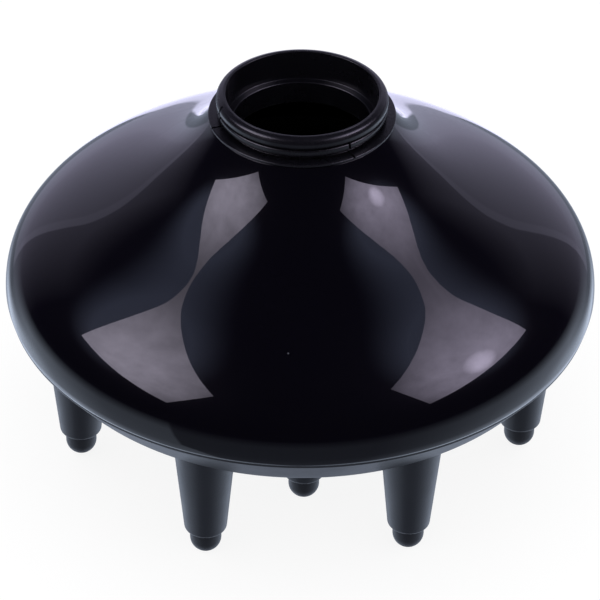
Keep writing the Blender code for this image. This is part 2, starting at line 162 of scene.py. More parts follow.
# Deflector.
DEFLECTOR_RADIUS = 30.0
DEFLECTOR_APEX = 16.0
DEFLECTOR_EDGE = 2.8
DEFLECTOR_THICKNESS = 1.6
HUB_RADIUS = 4.5
HUB_BOTTOM = BOSS_RISE + GAP - PLATE_DEPTH + PLATE_WALL
HUB_BORE_DEPTH = 14.0
# The underside of the deflector meets its hub in two bends, this far below its apex.
HUB_BENDS = (2.9, 5.0)

# Darkest and lightest colour of each satin plastic, and its roughness.
COLLAR_BLACK = ((0.0021, 0.0019, 0.0034), (0.0050, 0.0046, 0.0072), 0.26)
INNER_BLACK = ((0.006, 0.006, 0.008), (0.010, 0.010, 0.013), 0.42)
PLATE_SLATE = ((0.009, 0.011, 0.015), (0.013, 0.015, 0.020), 0.34)
FINGER_SLATE = ((0.005, 0.0068, 0.0112), (0.008, 0.0102, 0.0152), 0.42)
TIP_BLACK = ((0.005, 0.0066, 0.0106), (0.0075, 0.0096, 0.0142), 0.48)
DUST_ON_GLOSS = (0.20, 0.21, 0.25)
DUST_ON_SATIN = (0.22, 0.23, 0.26)

# Camera, which looks at the axis. Distances in millimetres, angles in degrees.
CAMERA_AZIMUTH = -2.63
CAMERA_ELEVATION = 36.54
CAMERA_DISTANCE = 935.4
CAMERA_TARGET_HEIGHT = 41.6
CAMERA_ROLL = 0.646
CAMERA_LENS = 197.4

# The floor's own glow keeps it near white, and its grey takes a faint shadow.
FLOOR_RADIUS = 6000.0
FLOOR_FACETS = 64
FLOOR_GREY = 0.14
FLOOR_GLOW = 0.88

# Colours of the room in reflections, of the even dome that lights matt surfaces, and of the backdrop.
ROOM_FLOOR_COLOUR = (0.85, 0.98, 1.20)
ROOM_WALL_COLOUR = (0.92, 0.89, 1.20)
SPILL_COLOUR = (0.80, 0.92, 1.40)
ROOM_SHADE = (0.024, 0.020, 0.042)
DOME_COLOUR = (1.05, 1.05, 1.06)
BACKDROP_COLOUR = (1.0, 1.0, 1.0)

# How bright the room is by direction. Each row takes low..high of a cosine to low..high brightness:
# AROUND rows use the azimuth from the back (1 is behind, -1 in front), UP rows the height (1 is up).
FLOOR_AROUND_FRONT_RIGHT = (-0.87, -0.3, 0.3, 1.0)
FLOOR_AROUND_FRONT_LEFT = (-0.71, -0.69, 0.3, 1.0)
FLOOR_AROUND_SIDES = (-0.26, 0.17, 0.62, 1.0)
FLOOR_AROUND_BACK = (0.45, 0.75, 1.0, 0.25)
FLOOR_UP = (-0.06, -0.30, 0.0, 1.0)
NEAR_FLOOR_AROUND_SIDES = (0.25, 0.8, 0.0, 1.08)
NEAR_FLOOR_AROUND_BACK = (0.86, 0.94, 1.0, 0.15)
NEAR_FLOOR_UP = (-0.38, -0.52, 0.0, 1.0)
WALL_AROUND_EDGE = (0.764, 0.768, 0.0, 0.20)
WALL_AROUND_RETURN = (0.42, 0.77, 0.0, 0.26)
WALL_AROUND_MIDDLE = (0.80, 0.98, 0.0, 0.15)
WALL_UP_TOP = (0.45, 0.61, 1.0, 0.0)
WALL_UP_FADE = (-0.27, -0.10, 0.5, 1.0)
WALL_UP_FOOT = (-0.29, -0.27, 0.0, 1.0)
STRIP_AROUND = (0.987, 0.989, 0.0, 1.1)

# Bands as low, high and blur of the same cosines.
TRIM_BAND = (0.766, 0.792, 0.002)
TRIM_BRIGHTNESS = 0.08
STRIP_BAND = (-0.50, -0.28, 0.01)

# Spill round each softbox: its directions, and its brightness (before squaring) from its edge inwards.
SPILL_AZIMUTHS = (-88.0, 88.0)
SPILL_ELEVATION = 48.0
SPILL_ANGLES = (28.0, 16.0)
SPILL_BRIGHTNESS = 0.72

# Corners of each softbox, as (azimuth, elevation, distance) from the camera's upright plane.
LEFT_SOFTBOX = (
    (-92.1, 27.0, 636.0),
    (-49.0, 22.2, 1990.0),
    (-36.3, 43.6, 1260.0),
    (-103.7, 61.2, 1060.0),
)
RIGHT_SOFTBOX = (
    (102.4, 26.6, 3580.0),
    (49.2, 24.7, 2010.0),
    (41.9, 48.7, 1110.0),
    (113.1, 58.1, 1180.0),
)
# Angles from a softbox's hot spot over which its cloth brightens, and over which its lamp shows.
CLOTH_ANGLES = (31.0, 8.0)
CLOTH_EDGE = 0.12
LAMP_ANGLES = (7.0, 1.0)


# ---------------------------------------------------------------- profiles and meshes


def direction(slope):
    """Unit vector up a profile that rises at this slope towards the axis."""
    return Vector((-math.cos(math.radians(slope)), math.sin(math.radians(slope))))


def bezier(start, start_handle, end_handle, end, steps):
    """Points along a cubic curve, both ends included."""
    points = []
    for step in range(steps + 1):
        t = step / steps
        point = start * (1 - t) ** 3 + start_handle * (3 * t * (1 - t) ** 2)
        point = point + end_handle * (3 * t * t * (1 - t)) + end * t**3
        points.append(point)
    return points


def inset(points, distance):
    """The profile moved to its left by this distance, as the other side of a wall."""
    moved = []
    for index, point in enumerate(points):
        before = points[max(index - 1, 0)]
        after = points[min(index + 1, len(points) - 1)]
        run = (after - before).normalized()
        moved.append(point + Vector((-run.y, run.x)) * distance)
    return moved


def sharp(points):
    """Plain points as corners without a fillet."""
    return [(point[0], point[1], 0.0) for point in points]


def raised(corners, height):
    return [(radius, z + height, fillet) for radius, z, fillet in corners]


def filleted(corners):
    """The closed profile with each corner rounded to its fillet radius."""
    points = []
    for index, (radius, height, fillet) in enumerate(corners):
        corner = Vector((radius, height))
        if fillet <= 0:
            points.append(corner)
            continue
        before = Vector(corners[index - 1][:2]) - corner
        after = Vector(corners[(index + 1) % len(corners)][:2]) - corner
        angle = before.angle(after)
        back = fillet / math.tan(angle / 2)
        back = min(back, before.length * 0.49, after.length * 0.49)
        round_radius = back * math.tan(angle / 2)
        middle = (before.normalized() + after.normalized()).normalized()
        centre = corner + middle * (round_radius / math.sin(angle / 2))
        first = corner + before.normalized() * back - centre
        last = corner + after.normalized() * back - centre
        for step in range(FILLET_STEPS + 1):
            turn = first.lerp(last, step / FILLET_STEPS).normalized()
            points.append(centre + turn * round_radius)
    return points


def place(radius, azimuth, height=0.0):
    """A position in metres from a radius and height in millimetres and an azimuth."""
    angle = math.radians(azimuth)
    return Vector((radius * math.sin(angle), -radius * math.cos(angle), height)) * MM


def mesh_from(body, name):
    """Finishes a bmesh: outward normals, smooth faces and sharp edges."""
    bmesh.ops.recalc_face_normals(body, faces=body.faces)
    mesh = bpy.data.meshes.new(name)
    body.to_mesh(mesh)
    body.free()
    mesh.shade_smooth()
    mesh.set_sharp_from_angle(angle=SMOOTH_BELOW)
    return mesh


def turned_mesh(name, corners, facets):
    """A closed profile turned once round the Z axis. A point on the axis is one vertex."""
    body = bmesh.new()
    rings = []
    for point in filleted(corners):
        if point.x < 1e-6:
            rings.append([body.verts.new((0.0, 0.0, point.y * MM))])
            continue
        rings.append([body.verts.new(place(point.x, 360 * k / facets, point.y)) for k in range(facets)])
    for lower, upper in zip(rings, rings[1:] + rings[:1]):
        if len(lower) == 1 and len(upper) == 1:
            continue
        for facet in range(facets):
            beside = (facet + 1) % facets
            around = [lower[facet % len(lower)], lower[beside % len(lower)]]
            around += [upper[beside % len(upper)], upper[facet % len(upper)]]
            body.faces.new(list(dict.fromkeys(around)))
    return mesh_from(body, name)


def prism_mesh(name, columns):
    """Upright prisms in one mesh, each from (outline in mm, bottom, top, centre in metres)."""
    body = bmesh.new()
    for outline, bottom, top, centre in columns:
        base = []
        for x, y in outline:
            base.append(body.verts.new((x * MM + centre.x, y * MM + centre.y, bottom * MM)))
        made = bmesh.ops.extrude_face_region(body, geom=[body.faces.new(base)])
        lifted = [item for item in made["geom"] if isinstance(item, bmesh.types.BMVert)]
        bmesh.ops.translate(body, verts=lifted, vec=(0.0, 0.0, (top - bottom) * MM))
    return mesh_from(body, name)


def circle(radius, facets=SMALL_FACETS):
    angles = [2 * math.pi * k / facets for k in range(facets)]
    return [(radius * math.cos(angle), radius * math.sin(angle)) for angle in angles]


def add(name, mesh, location=(0.0, 0.0, 0.0)):
    obj = bpy.data.objects.new(name, mesh)
    obj.location = location
    bpy.context.scene.collection.objects.link(obj)
    return obj


def turned_piece(name, corners):
    """A large turned object, from a profile above the bell's lower edge."""
    return add(name, turned_mesh(name, raised(corners, RIM_HEIGHT), LARGE_FACETS))


def prisms(name, columns):
    """An object of upright prisms."""
    return add(name, prism_mesh(name, columns))


def combine(obj, other, operation):
    """One Boolean, applied at once, after which the other object is removed."""
    modifier = obj.modifiers.new("combine", "BOOLEAN")
    modifier.operation = operation
    modifier.solver = "MANIFOLD"
    modifier.object = other
    graph = bpy.context.evaluated_depsgraph_get()
    made = bpy.data.meshes.new_from_object(obj.evaluated_get(graph))
    obj.modifiers.clear()
    obj.data = made
    made.shade_smooth()
    made.set_sharp_from_angle(angle=SMOOTH_BELOW)
    bpy.data.objects.remove(other)


def stands_for(piece, node, body, material):
    """Gives the piece its material, hangs it on its body and hides the CAD node that it replaces."""
    piece.data.materials.clear()
    piece.data.materials.append(material)
    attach(piece, body)
    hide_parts(node)


# ---------------------------------------------------------------- materials


def new_material(name):
    material = bpy.data.materials.new(name)
    material.use_nodes = True
    return material, material.node_tree, material.node_tree.nodes["Principled BSDF"]


def node(tree, kind, **values):
    made = tree.nodes.new(kind)
    for key, value in values.items():
        setattr(made, key, value)
    return made


def noise(tree, coordinates, scale, detail=2.0, roughness=0.5):
    made = node(tree, "ShaderNodeTexNoise")
    made.inputs["Scale"].default_value = scale
    made.inputs["Detail"].default_value = detail
    made.inputs["Roughness"].default_value = roughness
    tree.links.new(coordinates, made.inputs["Vector"])
    return made.outputs["Fac"]


def ranged(tree, value, low, high, to_low, to_high):
    """The value, taken from low..high to to_low..to_high and clamped."""
    made = node(tree, "ShaderNodeMapRange", clamp=True)
    made.inputs["From Min"].default_value = low
    made.inputs["From Max"].default_value = high
    made.inputs["To Min"].default_value = to_low
    made.inputs["To Max"].default_value = to_high
    tree.links.new(value, made.inputs["Value"])
    return made.outputs["Result"]


def maths(tree, operation, first, second):
    made = node(tree, "ShaderNodeMath", operation=operation)
    for socket, value in zip(made.inputs, (first, second)):
        if isinstance(value, (int, float)):
            socket.default_value = value
        else:
            tree.links.new(value, socket)
    return made.outputs["Value"]


def product(tree, first, *others):
    for other in others:
        first = maths(tree, "MULTIPLY", first, other)
    return first


def total(tree, first, *others):
    for other in others:
        first = maths(tree, "ADD", first, other)
    return first


def mixed(tree, factor, first, second):
    """Mix of two colours, each a tuple or a socket."""
    made = node(tree, "ShaderNodeMix", data_type="RGBA")
    tree.links.new(factor, made.inputs["Factor"])
    for socket, value in ((made.inputs["A"], first), (made.inputs["B"], second)):
        if isinstance(value, tuple):
            socket.default_value = (*value, 1.0)
        else:
            tree.links.new(value, socket)
    return made.outputs["Result"]


def specks(tree, coordinates, scale, radius, share):
    """1 inside small scattered dots, of which only this share of the cells has one."""
    cells = node(tree, "ShaderNodeTexVoronoi", feature="F1")
    cells.inputs["Scale"].default_value = scale
    tree.links.new(coordinates, cells.inputs["Vector"])
    dot = ranged(tree, cells.outputs["Distance"], radius * 0.6, radius, 1.0, 0.0)
    split = node(tree, "ShaderNodeSeparateColor")
    tree.links.new(cells.outputs["Color"], split.inputs["Color"])
    chosen = maths(tree, "LESS_THAN", split.outputs["Red"], share)
    return product(tree, dot, chosen)


def bumped(tree, shader, height, distance, strength=1.0):
    made = node(tree, "ShaderNodeBump")
    made.inputs["Strength"].default_value = strength
    made.inputs["Distance"].default_value = distance
    tree.links.new(height, made.inputs["Height"])
    tree.links.new(made.outputs["Normal"], shader.inputs["Normal"])
    return made.outputs["Normal"]


def gloss_black():
    """Polished black shell: a clear sharp gloss over a softer one, faint ripple and dust."""
    material, tree, shader = new_material("gloss_black")
    place_of = node(tree, "ShaderNodeTexCoord").outputs["Object"]
    dust = specks(tree, place_of, 160.0, 0.055, 0.05)
    cloud = noise(tree, place_of, 18.0, 4.0)
    colour = mixed(tree, cloud, (0.0008, 0.0006, 0.0016), (0.0016, 0.0013, 0.0030))
    colour = mixed(tree, product(tree, dust, 0.35), colour, DUST_ON_GLOSS)
    tree.links.new(colour, shader.inputs["Base Color"])
    haze = ranged(tree, noise(tree, place_of, 45.0, 5.0, 0.6), 0.35, 0.7, 0.26, 0.32)
    tree.links.new(haze, shader.inputs["Roughness"])
    shader.inputs["Specular IOR Level"].default_value = 0.02
    shader.inputs["Coat Weight"].default_value = 0.95
    shader.inputs["Coat Roughness"].default_value = 0.015
    shader.inputs["Coat IOR"].default_value = 1.5
    ripple = noise(tree, place_of, 90.0, 2.0)
    normal = bumped(tree, shader, ripple, 0.00002, 0.6)
    tree.links.new(normal, shader.inputs["Coat Normal"])
    return material


def satin_plastic(name, dark, light, roughness, grain_scale=1400.0):
    """Moulded satin plastic: spark-eroded grain, uneven sheen and a little dust."""
    material, tree, shader = new_material(name)
    place_of = node(tree, "ShaderNodeTexCoord").outputs["Object"]
    cloud = noise(tree, place_of, 40.0, 4.0)
    dust = specks(tree, place_of, 300.0, 0.07, 0.04)
    colour = mixed(tree, cloud, dark, light)
    colour = mixed(tree, product(tree, dust, 0.3), colour, DUST_ON_SATIN)
    tree.links.new(colour, shader.inputs["Base Color"])
    patches = noise(tree, place_of, 70.0, 5.0, 0.6)
    sheen = ranged(tree, patches, 0.3, 0.7, roughness - 0.05, roughness + 0.05)
    tree.links.new(sheen, shader.inputs["Roughness"])
    bumped(tree, shader, noise(tree, place_of, grain_scale, 3.0, 0.6), 0.00003)
    return material


def zinc_steel():
    """Zinc-plated screw steel with a fine turned lay and dull patches."""
    material, tree, shader = new_material("zinc_steel")
    place_of = node(tree, "ShaderNodeTexCoord").outputs["Object"]
    patches = noise(tree, place_of, 500.0, 4.0)
    colour = mixed(tree, patches, (0.42, 0.42, 0.44), (0.62, 0.62, 0.63))
    tree.links.new(colour, shader.inputs["Base Color"])
    shader.inputs["Metallic"].default_value = 1.0
    tree.links.new(ranged(tree, patches, 0.3, 0.7, 0.22, 0.42), shader.inputs["Roughness"])
    bumped(tree, shader, noise(tree, place_of, 2500.0), 0.00002)
    return material


# ---------------------------------------------------------------- pieces


def bell_outside():
    """The bell's outer curve, from its widest point to its mouth."""
    shoulder = Vector((RIM_RADIUS, SHOULDER_HEIGHT))
    flank = Vector((FLANK_RADIUS, FLANK_HEIGHT))
    mouth = Vector((MOUTH_RADIUS, MOUTH_HEIGHT))
    along_flank = direction(FLANK_SLOPE)
    lower = bezier(
        shoulder,
        shoulder + Vector((0.0, SHOULDER_HANDLE)),
        flank - along_flank * FLANK_HANDLES[0],
        flank,
        BELL_STEPS,
    )
    upper = bezier(
        flank,
        flank + along_flank * FLANK_HANDLES[1],
        mouth - direction(MOUTH_SLOPE) * MOUTH_HANDLE,
        mouth,
        BELL_STEPS,
    )
    return lower + upper[1:]


def screw_columns(radius, bottom, top):
    return [(circle(radius), bottom, top, place(SCREW_CIRCLE, azimuth)) for azimuth in SCREW_AZIMUTHS]


def bell(material):
    outside = bell_outside()
    land = MOUTH_HEIGHT - MOUTH_LAND_DEPTH
    inside = [point for point in inset(outside, BELL_WALL) if point.y < land - GAP]
    slope = (inside[-1] - inside[-2]).normalized()
    corner = inside[-1] + slope * ((land - inside[-1].y) / slope.y)
    corners = [(RIM_EDGE_RADIUS, 0.0, 0.12), (RIM_EDGE_RADIUS + 0.25, RIM_ROUND, 0.4)]
    corners += sharp(outside[:-1]) + [(outside[-1].x, outside[-1].y, 0.25)]
    corners += [(MOUTH_BORE_RADIUS, MOUTH_HEIGHT, 0.2), (MOUTH_BORE_RADIUS, land, 0.2)]
    corners += sharp([corner] + inside[::-1]) + [(inside[0].x, 0.0, 0.4)]
    piece = turned_piece("smooth_bell_shell", corners)

    # Three screw posts hang from the wall and end in the middle of it.
    middle = inset(outside, BELL_WALL / 2)
    under = -RIM_HEIGHT
    below = [Vector((0.0, middle[-1].y)), Vector((0.0, under)), Vector((middle[0].x, under))]
    limit = turned_piece("limit", sharp(middle + below))
    posts = prisms("posts", screw_columns(POST_RADIUS, POST_BOTTOM, RIM_HEIGHT + MOUTH_HEIGHT))
    combine(posts, limit, "INTERSECT")
    combine(piece, posts, "UNION")
    pilots = screw_columns(SCREW_HOLE_RADIUS, POST_BOTTOM - CLEAR, POST_BOTTOM + PILOT_DEPTH)
    combine(piece, prisms("pilots", pilots), "DIFFERENCE")
    stands_for(piece, "bell_shell", "bell_body", material)


def collar(material):
    flange_low = MOUTH_HEIGHT + GAP
    flange_high = flange_low + FLANGE_THICKNESS
    rib_low, rib_high = LOWER_RIB
    corners = [
        (STOP_RADIUS, COLLAR_BOTTOM, 0.3),
        (STOP_RADIUS, STOP_HEIGHT, 0.3),
        (COLLAR_BORE_RADIUS, STOP_HEIGHT, 0.2),
        (COLLAR_BORE_RADIUS, COLLAR_TOP, 0.2),
        (COLLAR_LIP_RADIUS - 0.1, COLLAR_TOP, 0.0),
        (COLLAR_LIP_RADIUS, COLLAR_TOP - 0.08, 0.05),
        (COLLAR_LIP_RADIUS + 0.1, COLLAR_TOP - 0.02, 0.05),
        (UPPER_RIB_RADIUS - 0.55, COLLAR_TOP - 0.45, 1.2),
        (UPPER_RIB_RADIUS, COLLAR_TOP - 1.6, 1.2),
        (UPPER_RIB_RADIUS, UPPER_RIB_BOTTOM + 0.15, 0.5),
        (RIB_GROOVE_RADIUS, UPPER_RIB_BOTTOM, 0.15),
        (RIB_GROOVE_RADIUS, rib_high, 0.15),
        (LOWER_RIB_RADIUS, rib_high - 0.15, 0.6),
        (LOWER_RIB_RADIUS, rib_low + 0.15, 0.5),
        (COLLAR_NECK_RADIUS, rib_low, 0.15),
        (COLLAR_NECK_RADIUS, flange_high, 0.2),
        (FLANGE_RADIUS, flange_high, 0.3),
        (FLANGE_RADIUS, flange_low, 0.2),
        (SPIGOT_RADIUS, flange_low, 0.1),
        (SPIGOT_RADIUS, COLLAR_BOTTOM, 0.5),
    ]
    piece = turned_piece("smooth_neck_collar", corners)

    # Mould parting notches across the ribs and the flange.
    columns = []
    for azimuth, top in NOTCHES:
        outward = place(1 / MM, azimuth)
        across = Vector((-outward.y, outward.x, 0.0)) * NOTCH_WIDTH / 2
        near = outward * (COLLAR_NECK_RADIUS + 0.05)
        far = outward * (FLANGE_RADIUS + CLEAR)
        spots = (near - across, far - across, far + across, near + across)
        outline = [(spot.x, spot.y) for spot in spots]
        bottom = RIM_HEIGHT + flange_high - FLANGE_THICKNESS / 2
        columns.append((outline, bottom, RIM_HEIGHT + top, Vector((0.0, 0.0, 0.0))))
    combine(piece, prisms("notches", columns), "DIFFERENCE")
    stands_for(piece, "neck_collar", "swivel_collar", material)


def retaining_ring(material):
    top = RIM_HEIGHT + MOUTH_HEIGHT - MOUTH_LAND_DEPTH - GAP
    bore = SPIGOT_RADIUS + GAP
    corners = [
        (bore, top - RING_HEIGHT, 0.3),
        (RING_RADIUS, top - RING_HEIGHT, 0.4),
        (RING_RADIUS, top, 0.4),
        (bore, top, 0.2),
    ]
    piece = add("smooth_retaining_ring", turned_mesh("retaining_ring", corners, LARGE_FACETS))
    stands_for(piece, "collar_retaining_ring", "swivel_collar", material)


def finger_places():
    """Kind, number, azimuth and circle of every finger."""
    spots = []
    for index in range(OUTER_FINGERS):
        spots.append(("outer", index + 1, (index + 0.5) * 360 / OUTER_FINGERS, OUTER_FINGER_RADIUS))
    for index in range(INNER_FINGERS):
        spots.append(("inner", index + 1, index * 360 / INNER_FINGERS, INNER_FINGER_RADIUS))
    return spots


def finger_radius(height):
    """Outer radius of a finger above its shoulder."""
    return SHOULDER_RADIUS + (height - SHOULDER_Z) * FINGER_TAPER


def air_hole_places():
    """Centres of the air holes, leaving out those that would cut into a socket or a boss."""
    blocked = [(place(radius, azimuth), SOCKET_RADIUS) for _, _, azimuth, radius in finger_places()]
    blocked += [(place(SCREW_CIRCLE, azimuth), BOSS_RADIUS) for azimuth in SCREW_AZIMUTHS]
    centres = []
    for radius, count, first in AIR_HOLE_RINGS:
        for index in range(count):
            spot = place(radius, first + index * 360 / count)
            nearest = min((spot - centre).length / MM - reach for centre, reach in blocked)
            if nearest > AIR_HOLE_RADIUS + AIR_HOLE_MARGIN:
                centres.append(spot)
    return centres


def plate(material):
    end = Vector(PLATE_FLANK_END)
    rim_corner = Vector((PLATE_RADIUS, PLATE_EDGE))
    flank = (end - rim_corner).normalized()
    floor_edge = Vector((PLATE_FLOOR_RADIUS, -PLATE_DEPTH))
    handle = floor_edge + Vector((DISH_HANDLES[0], 0.0))
    dish = bezier(floor_edge, handle, end + flank * DISH_HANDLES[1], end, DISH_STEPS)
    outside = dish + [rim_corner]
    inside = inset(outside, PLATE_WALL)
    run = (inside[-1] - inside[-2]).normalized()
    foot = inside[-2] + run * ((UPSTAND_RADII[0] - inside[-2].x) / run.x)
    boss_top = BOSS_RISE - PLATE_DEPTH + PLATE_WALL
    corners = [(SCREW_HOLE_RADIUS, -PLATE_DEPTH, 0.3)] + sharp(dish)
    corners += [
        (PLATE_RADIUS, PLATE_EDGE, 0.3),
        (PLATE_RADIUS, -SEAM, 0.1),
        (UPSTAND_RADII[1], -SEAM, 0.2),
        (UPSTAND_RADII[1], UPSTAND_HEIGHT, 0.4),
        (UPSTAND_RADII[0], UPSTAND_HEIGHT, 0.4),
        (foot.x, foot.y, 0.5),
    ]
    corners += sharp(inside[:-1][::-1])
    corners += [
        (CENTRE_BOSS_RADIUS, PLATE_WALL - PLATE_DEPTH, 0.5),
        (CENTRE_BOSS_RADIUS, boss_top, 0.3),
        (SCREW_HOLE_RADIUS, boss_top, 0.2),
    ]
    piece = turned_piece("smooth_finger_plate", corners)

    # Sockets and screw bosses rise from the middle of the wall.
    middle = inset([Vector((SCREW_HOLE_RADIUS, -PLATE_DEPTH))] + outside, PLATE_WALL / 2)
    above = PLATE_DEPTH
    over = [Vector((middle[-1].x, above)), Vector((0.0, above)), Vector((0.0, middle[0].y))]
    limit = turned_piece("limit", sharp(middle + over))
    columns = screw_columns(BOSS_RADIUS, LOWEST, BOSS_TOP)
    socket = circle(SOCKET_RADIUS, FINGER_FACETS)
    for _, _, azimuth, radius in finger_places():
        columns.append((socket, LOWEST, FLANGE_Z - GAP, place(radius, azimuth)))
    sockets = prisms("sockets", columns)
    combine(sockets, limit, "INTERSECT")
    combine(piece, sockets, "UNION")

    holes = screw_columns(SCREW_HOLE_RADIUS, COUNTERBORE_TOP - CLEAR, BOSS_TOP + CLEAR)
    holes += [(circle(AIR_HOLE_RADIUS), LOWEST, FLANGE_Z + 2 * CLEAR, spot) for spot in air_hole_places()]
    combine(piece, prisms("holes", holes), "DIFFERENCE")
    counterbores = screw_columns(COUNTERBORE_RADIUS, LOWEST, COUNTERBORE_TOP)
    combine(piece, prisms("counterbores", counterbores), "DIFFERENCE")
    top = FLANGE_Z + CLEAR
    low_radius = finger_radius(LOWEST) + GAP
    high_radius = finger_radius(top) + GAP
    bore = [(0.0, LOWEST), (low_radius, LOWEST), (high_radius, top), (0.0, top)]
    for _, _, azimuth, radius in finger_places():
        cutter = add("bore", turned_mesh("bore", sharp(bore), FINGER_FACETS), place(radius, azimuth))
        combine(piece, cutter, "DIFFERENCE")
    stands_for(piece, "finger_plate", "bell_body", material)


def finger_corners():
    """A hollow prong: round shoulder at the foot, taper, and a flange that sits on its socket."""
    foot = TIP_TOP + GAP
    top = FLANGE_Z + FINGER_FLANGE_THICKNESS
    bore = TIP_SPIGOT_RADIUS + GAP
    return [
        (bore, foot, 0.2),
        (TIP_RADIUS + 0.1, foot, 0.1),
        (SHOULDER_RADIUS - 0.05, SHOULDER_Z - 0.15, 1.2),
        (finger_radius(FLANGE_Z), FLANGE_Z, 0.3),
        (FINGER_FLANGE_RADIUS, FLANGE_Z, 0.3),
        (FINGER_FLANGE_RADIUS, top, 0.4),
        (finger_radius(top) - FINGER_WALL, top, 0.4),
        (finger_radius(FINGER_FLOOR) - FINGER_WALL, FINGER_FLOOR, 0.5),
        (bore, FINGER_FLOOR, 0.2),
    ]


def tip_corners():
    """A soft round foot with a spigot that plugs the finger."""
    ball = []
    for step in range(TIP_BALL_STEPS + 1):
        angle = math.radians(TIP_BALL_START * (1 - step / TIP_BALL_STEPS))
        ball.append((TIP_RADIUS * math.cos(angle), TIP_RADIUS * (1 + math.sin(angle)), 0.0))
    seat = TIP_TOP + GAP - SEAM
    return [
        (0.0, 0.0, 0.0),
        (ball[0][0] - 0.3, 0.0, 0.3),
        *ball,
        (TIP_RADIUS, seat, 0.1),
        (TIP_SPIGOT_RADIUS, seat, 0.1),
        (TIP_SPIGOT_RADIUS, TIP_SPIGOT_TOP, 0.4),
        (0.0, TIP_SPIGOT_TOP, 0.0),
    ]


def fingers_and_tips(finger_material, tip_material):
    prong = turned_mesh("prong", finger_corners(), FINGER_FACETS)
    foot = turned_mesh("foot", tip_corners(), FINGER_FACETS)
    for kind, number, azimuth, radius in finger_places():
        spot = place(radius, azimuth)
        finger = add(f"smooth_{kind}_finger_{number}", prong.copy(), spot)
        stands_for(finger, f"{kind}_finger_{number}", "bell_body", finger_material)
        tip = add(f"smooth_{kind}_finger_tip_{number}", foot.copy(), spot)
        stands_for(tip, f"{kind}_finger_tip_{number}", "bell_body", tip_material)


def deflector(material):
    underside = DEFLECTOR_APEX - DEFLECTOR_THICKNESS
    corners = [
        (0.0, DEFLECTOR_APEX, 0.0),
        (1.5, DEFLECTOR_APEX - 0.4, 2.0),
        (DEFLECTOR_RADIUS, DEFLECTOR_EDGE, 0.2),
        (DEFLECTOR_RADIUS + 0.3, DEFLECTOR_EDGE - DEFLECTOR_THICKNESS / 2, 0.5),
        (DEFLECTOR_RADIUS, DEFLECTOR_EDGE - DEFLECTOR_THICKNESS, 0.2),
        (HUB_RADIUS + 2, underside - HUB_BENDS[0], 2.0),
        (HUB_RADIUS, underside - HUB_BENDS[1], 2.0),
        (HUB_RADIUS, HUB_BOTTOM, 0.3),
        (SCREW_HOLE_RADIUS, HUB_BOTTOM, 0.2),
        (SCREW_HOLE_RADIUS, HUB_BOTTOM + HUB_BORE_DEPTH, 0.2),
        (0.0, HUB_BOTTOM + HUB_BORE_DEPTH, 0.0),
    ]
    piece = turned_piece("smooth_air_deflector", corners)
    stands_for(piece, "air_deflector", "bell_body", material)


def cross_outline():
    """The outline of a cross recess, one arm turned by quarter turns."""
    outline = []
    for quarter in range(4):
        turn = Matrix.Rotation(math.radians(90 * quarter), 2)
        for x, y in (
            (RECESS_ARM, -RECESS_HALF_WIDTH),
            (RECESS_ARM, RECESS_HALF_WIDTH),
            (RECESS_HALF_WIDTH, RECESS_HALF_WIDTH),
        ):
            outline.append(tuple(turn @ Vector((x, y))))
    return outline


def screw(name, node_name, length, spot, material):
    """A pan-head screw, head down, with a cross recess and a thread of rings."""
    head = -SCREW_HEAD_HEIGHT
    core = SCREW_SHANK_RADIUS - THREAD_DEPTH
    corners = [
        (0.0, head, 0.0),
        (SCREW_HEAD_RADIUS, head, 1.3),
        (SCREW_HEAD_RADIUS, 0.0, 0.2),
        (core, 0.0, 0.2),
    ]
    threads = int((length - 2.5) / THREAD_PITCH)
    for thread in range(1, threads + 1):
        height = thread * THREAD_PITCH
        corners.append((core, height, 0.0))
        corners.append((SCREW_SHANK_RADIUS, height + THREAD_PITCH / 2, 0.05))
    corners += [(core, length - 2.0, 0.0), (0.3, length - 0.2, 0.1), (0.0, length, 0.0)]
    piece = add(name, turned_mesh(name, corners, SMALL_FACETS), spot)
    centre = Vector((0.0, 0.0, 0.0))
    recess = prism_mesh("recess", [(cross_outline(), head - CLEAR, head + RECESS_DEPTH, centre)])
    combine(piece, add("recess", recess, spot), "DIFFERENCE")
    stands_for(piece, node_name, "bell_body", material)


def screws(material):
    for index, azimuth in enumerate(SCREW_AZIMUTHS):
        name = f"plate_screw_{index + 1}"
        spot = place(SCREW_CIRCLE, azimuth, COUNTERBORE_TOP - GAP)
        screw("smooth_" + name, name, PLATE_SCREW_LENGTH, spot, material)
    spot = place(0.0, 0.0, RIM_HEIGHT - PLATE_DEPTH - GAP)
    screw("smooth_deflector_screw", "deflector_screw", DEFLECTOR_SCREW_LENGTH, spot, material)


# ---------------------------------------------------------------- studio


def floor():
    """Pale, evenly lit floor with a light shadow. Gloss reflects the room's floor from the world."""
    body = bmesh.new()
    corners = []
    for facet in range(FLOOR_FACETS):
        corners.append(body.verts.new(place(FLOOR_RADIUS, 360 * facet / FLOOR_FACETS, -0.05)))
    body.faces.new(corners)
    obj = add("floor", mesh_from(body, "floor"))
    material, tree, shader = new_material("pale_floor")
    shader.inputs["Base Color"].default_value = (FLOOR_GREY, FLOOR_GREY, FLOOR_GREY, 1.0)
    shader.inputs["Roughness"].default_value = 0.9
    shader.inputs["Specular IOR Level"].default_value = 0.0
    shader.inputs["Emission Color"].default_value = (1.0, 1.0, 1.0, 1.0)
    shader.inputs["Emission Strength"].default_value = FLOOR_GLOW
    obj.data.materials.append(material)
    obj.visible_glossy = False
    obj.visible_diffuse = False


